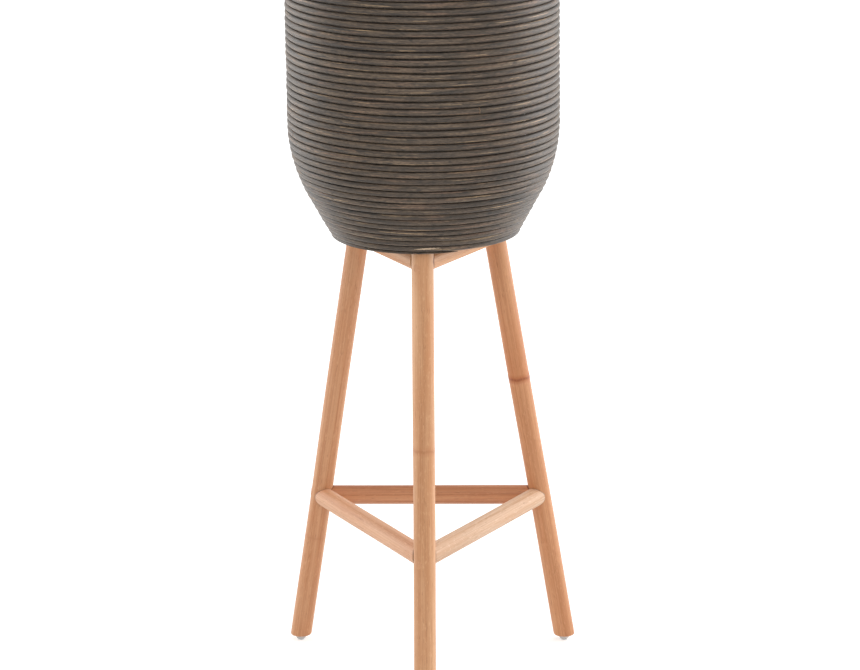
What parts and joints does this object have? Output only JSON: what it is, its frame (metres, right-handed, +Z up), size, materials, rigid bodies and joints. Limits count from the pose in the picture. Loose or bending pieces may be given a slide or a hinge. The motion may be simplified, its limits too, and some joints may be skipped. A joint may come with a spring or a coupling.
{
  "type": "standing rattan planter",
  "caption": "Wound-rattan basket planter with a lift-out liner pot, standing on a tripod of splayed rattan poles tied together by stretchers.",
  "frame": {"origin": "on the floor, under the middle of the basket, where the stand's upright centre line meets the floor", "axes": "+Z up; the front leg points along -Y; +X to the right, seen from the front"},
  "size_m": [0.304, 0.3111, 0.745],
  "materials": {
    "peeled_pole": "peeled rattan pole, streaked lengthwise, satin lacquer",
    "plug": "turned wood, trimmed flush",
    "wall_rod": "thin grey-brown stained rattan rod, fibres along it",
    "stake": "split cane, stained",
    "board": "plywood, stained",
    "screw": "zinc plated",
    "glide": "grey nylon, slightly translucent",
    "liner": "black moulded plastic"
  },
  "bodies": {
    "stand": {"leg_front": "peeled_pole", "leg_right": "peeled_pole", "leg_left": "peeled_pole", "stretcher_right": "peeled_pole", "stretcher_back": "peeled_pole", "stretcher_left": "peeled_pole", "rail_right": "peeled_pole", "rail_back": "peeled_pole", "rail_left": "peeled_pole", "glide_front": "glide", "glide_right": "glide", "glide_left": "glide", "stretcher_screws": "screw", "rail_screws": "screw", "joint_plugs": "plug", "base_board": "board", "base_screws": "screw", "stake_1": "stake", "stake_2": "stake", "stake_3": "stake", "stake_4": "stake", "stake_5": "stake", "stake_6": "stake", "stake_7": "stake", "stake_8": "stake", "stake_9": "stake", "wall_rod_1": "wall_rod", "wall_rod_2": "wall_rod", "wall_rod_3": "wall_rod", "wall_rod_4": "wall_rod", "wall_rod_5": "wall_rod", "wall_rod_6": "wall_rod", "wall_rod_7": "wall_rod", "rim_hoop": "wall_rod"},
    "liner": {"liner_pot": "liner"}
  },
  "joints": [
    {"name": "liner_lift", "type": "slide", "parent": "stand", "child": "liner", "axis": [0, 0, 1], "range_m": [0, 0.3]}
  ]
}
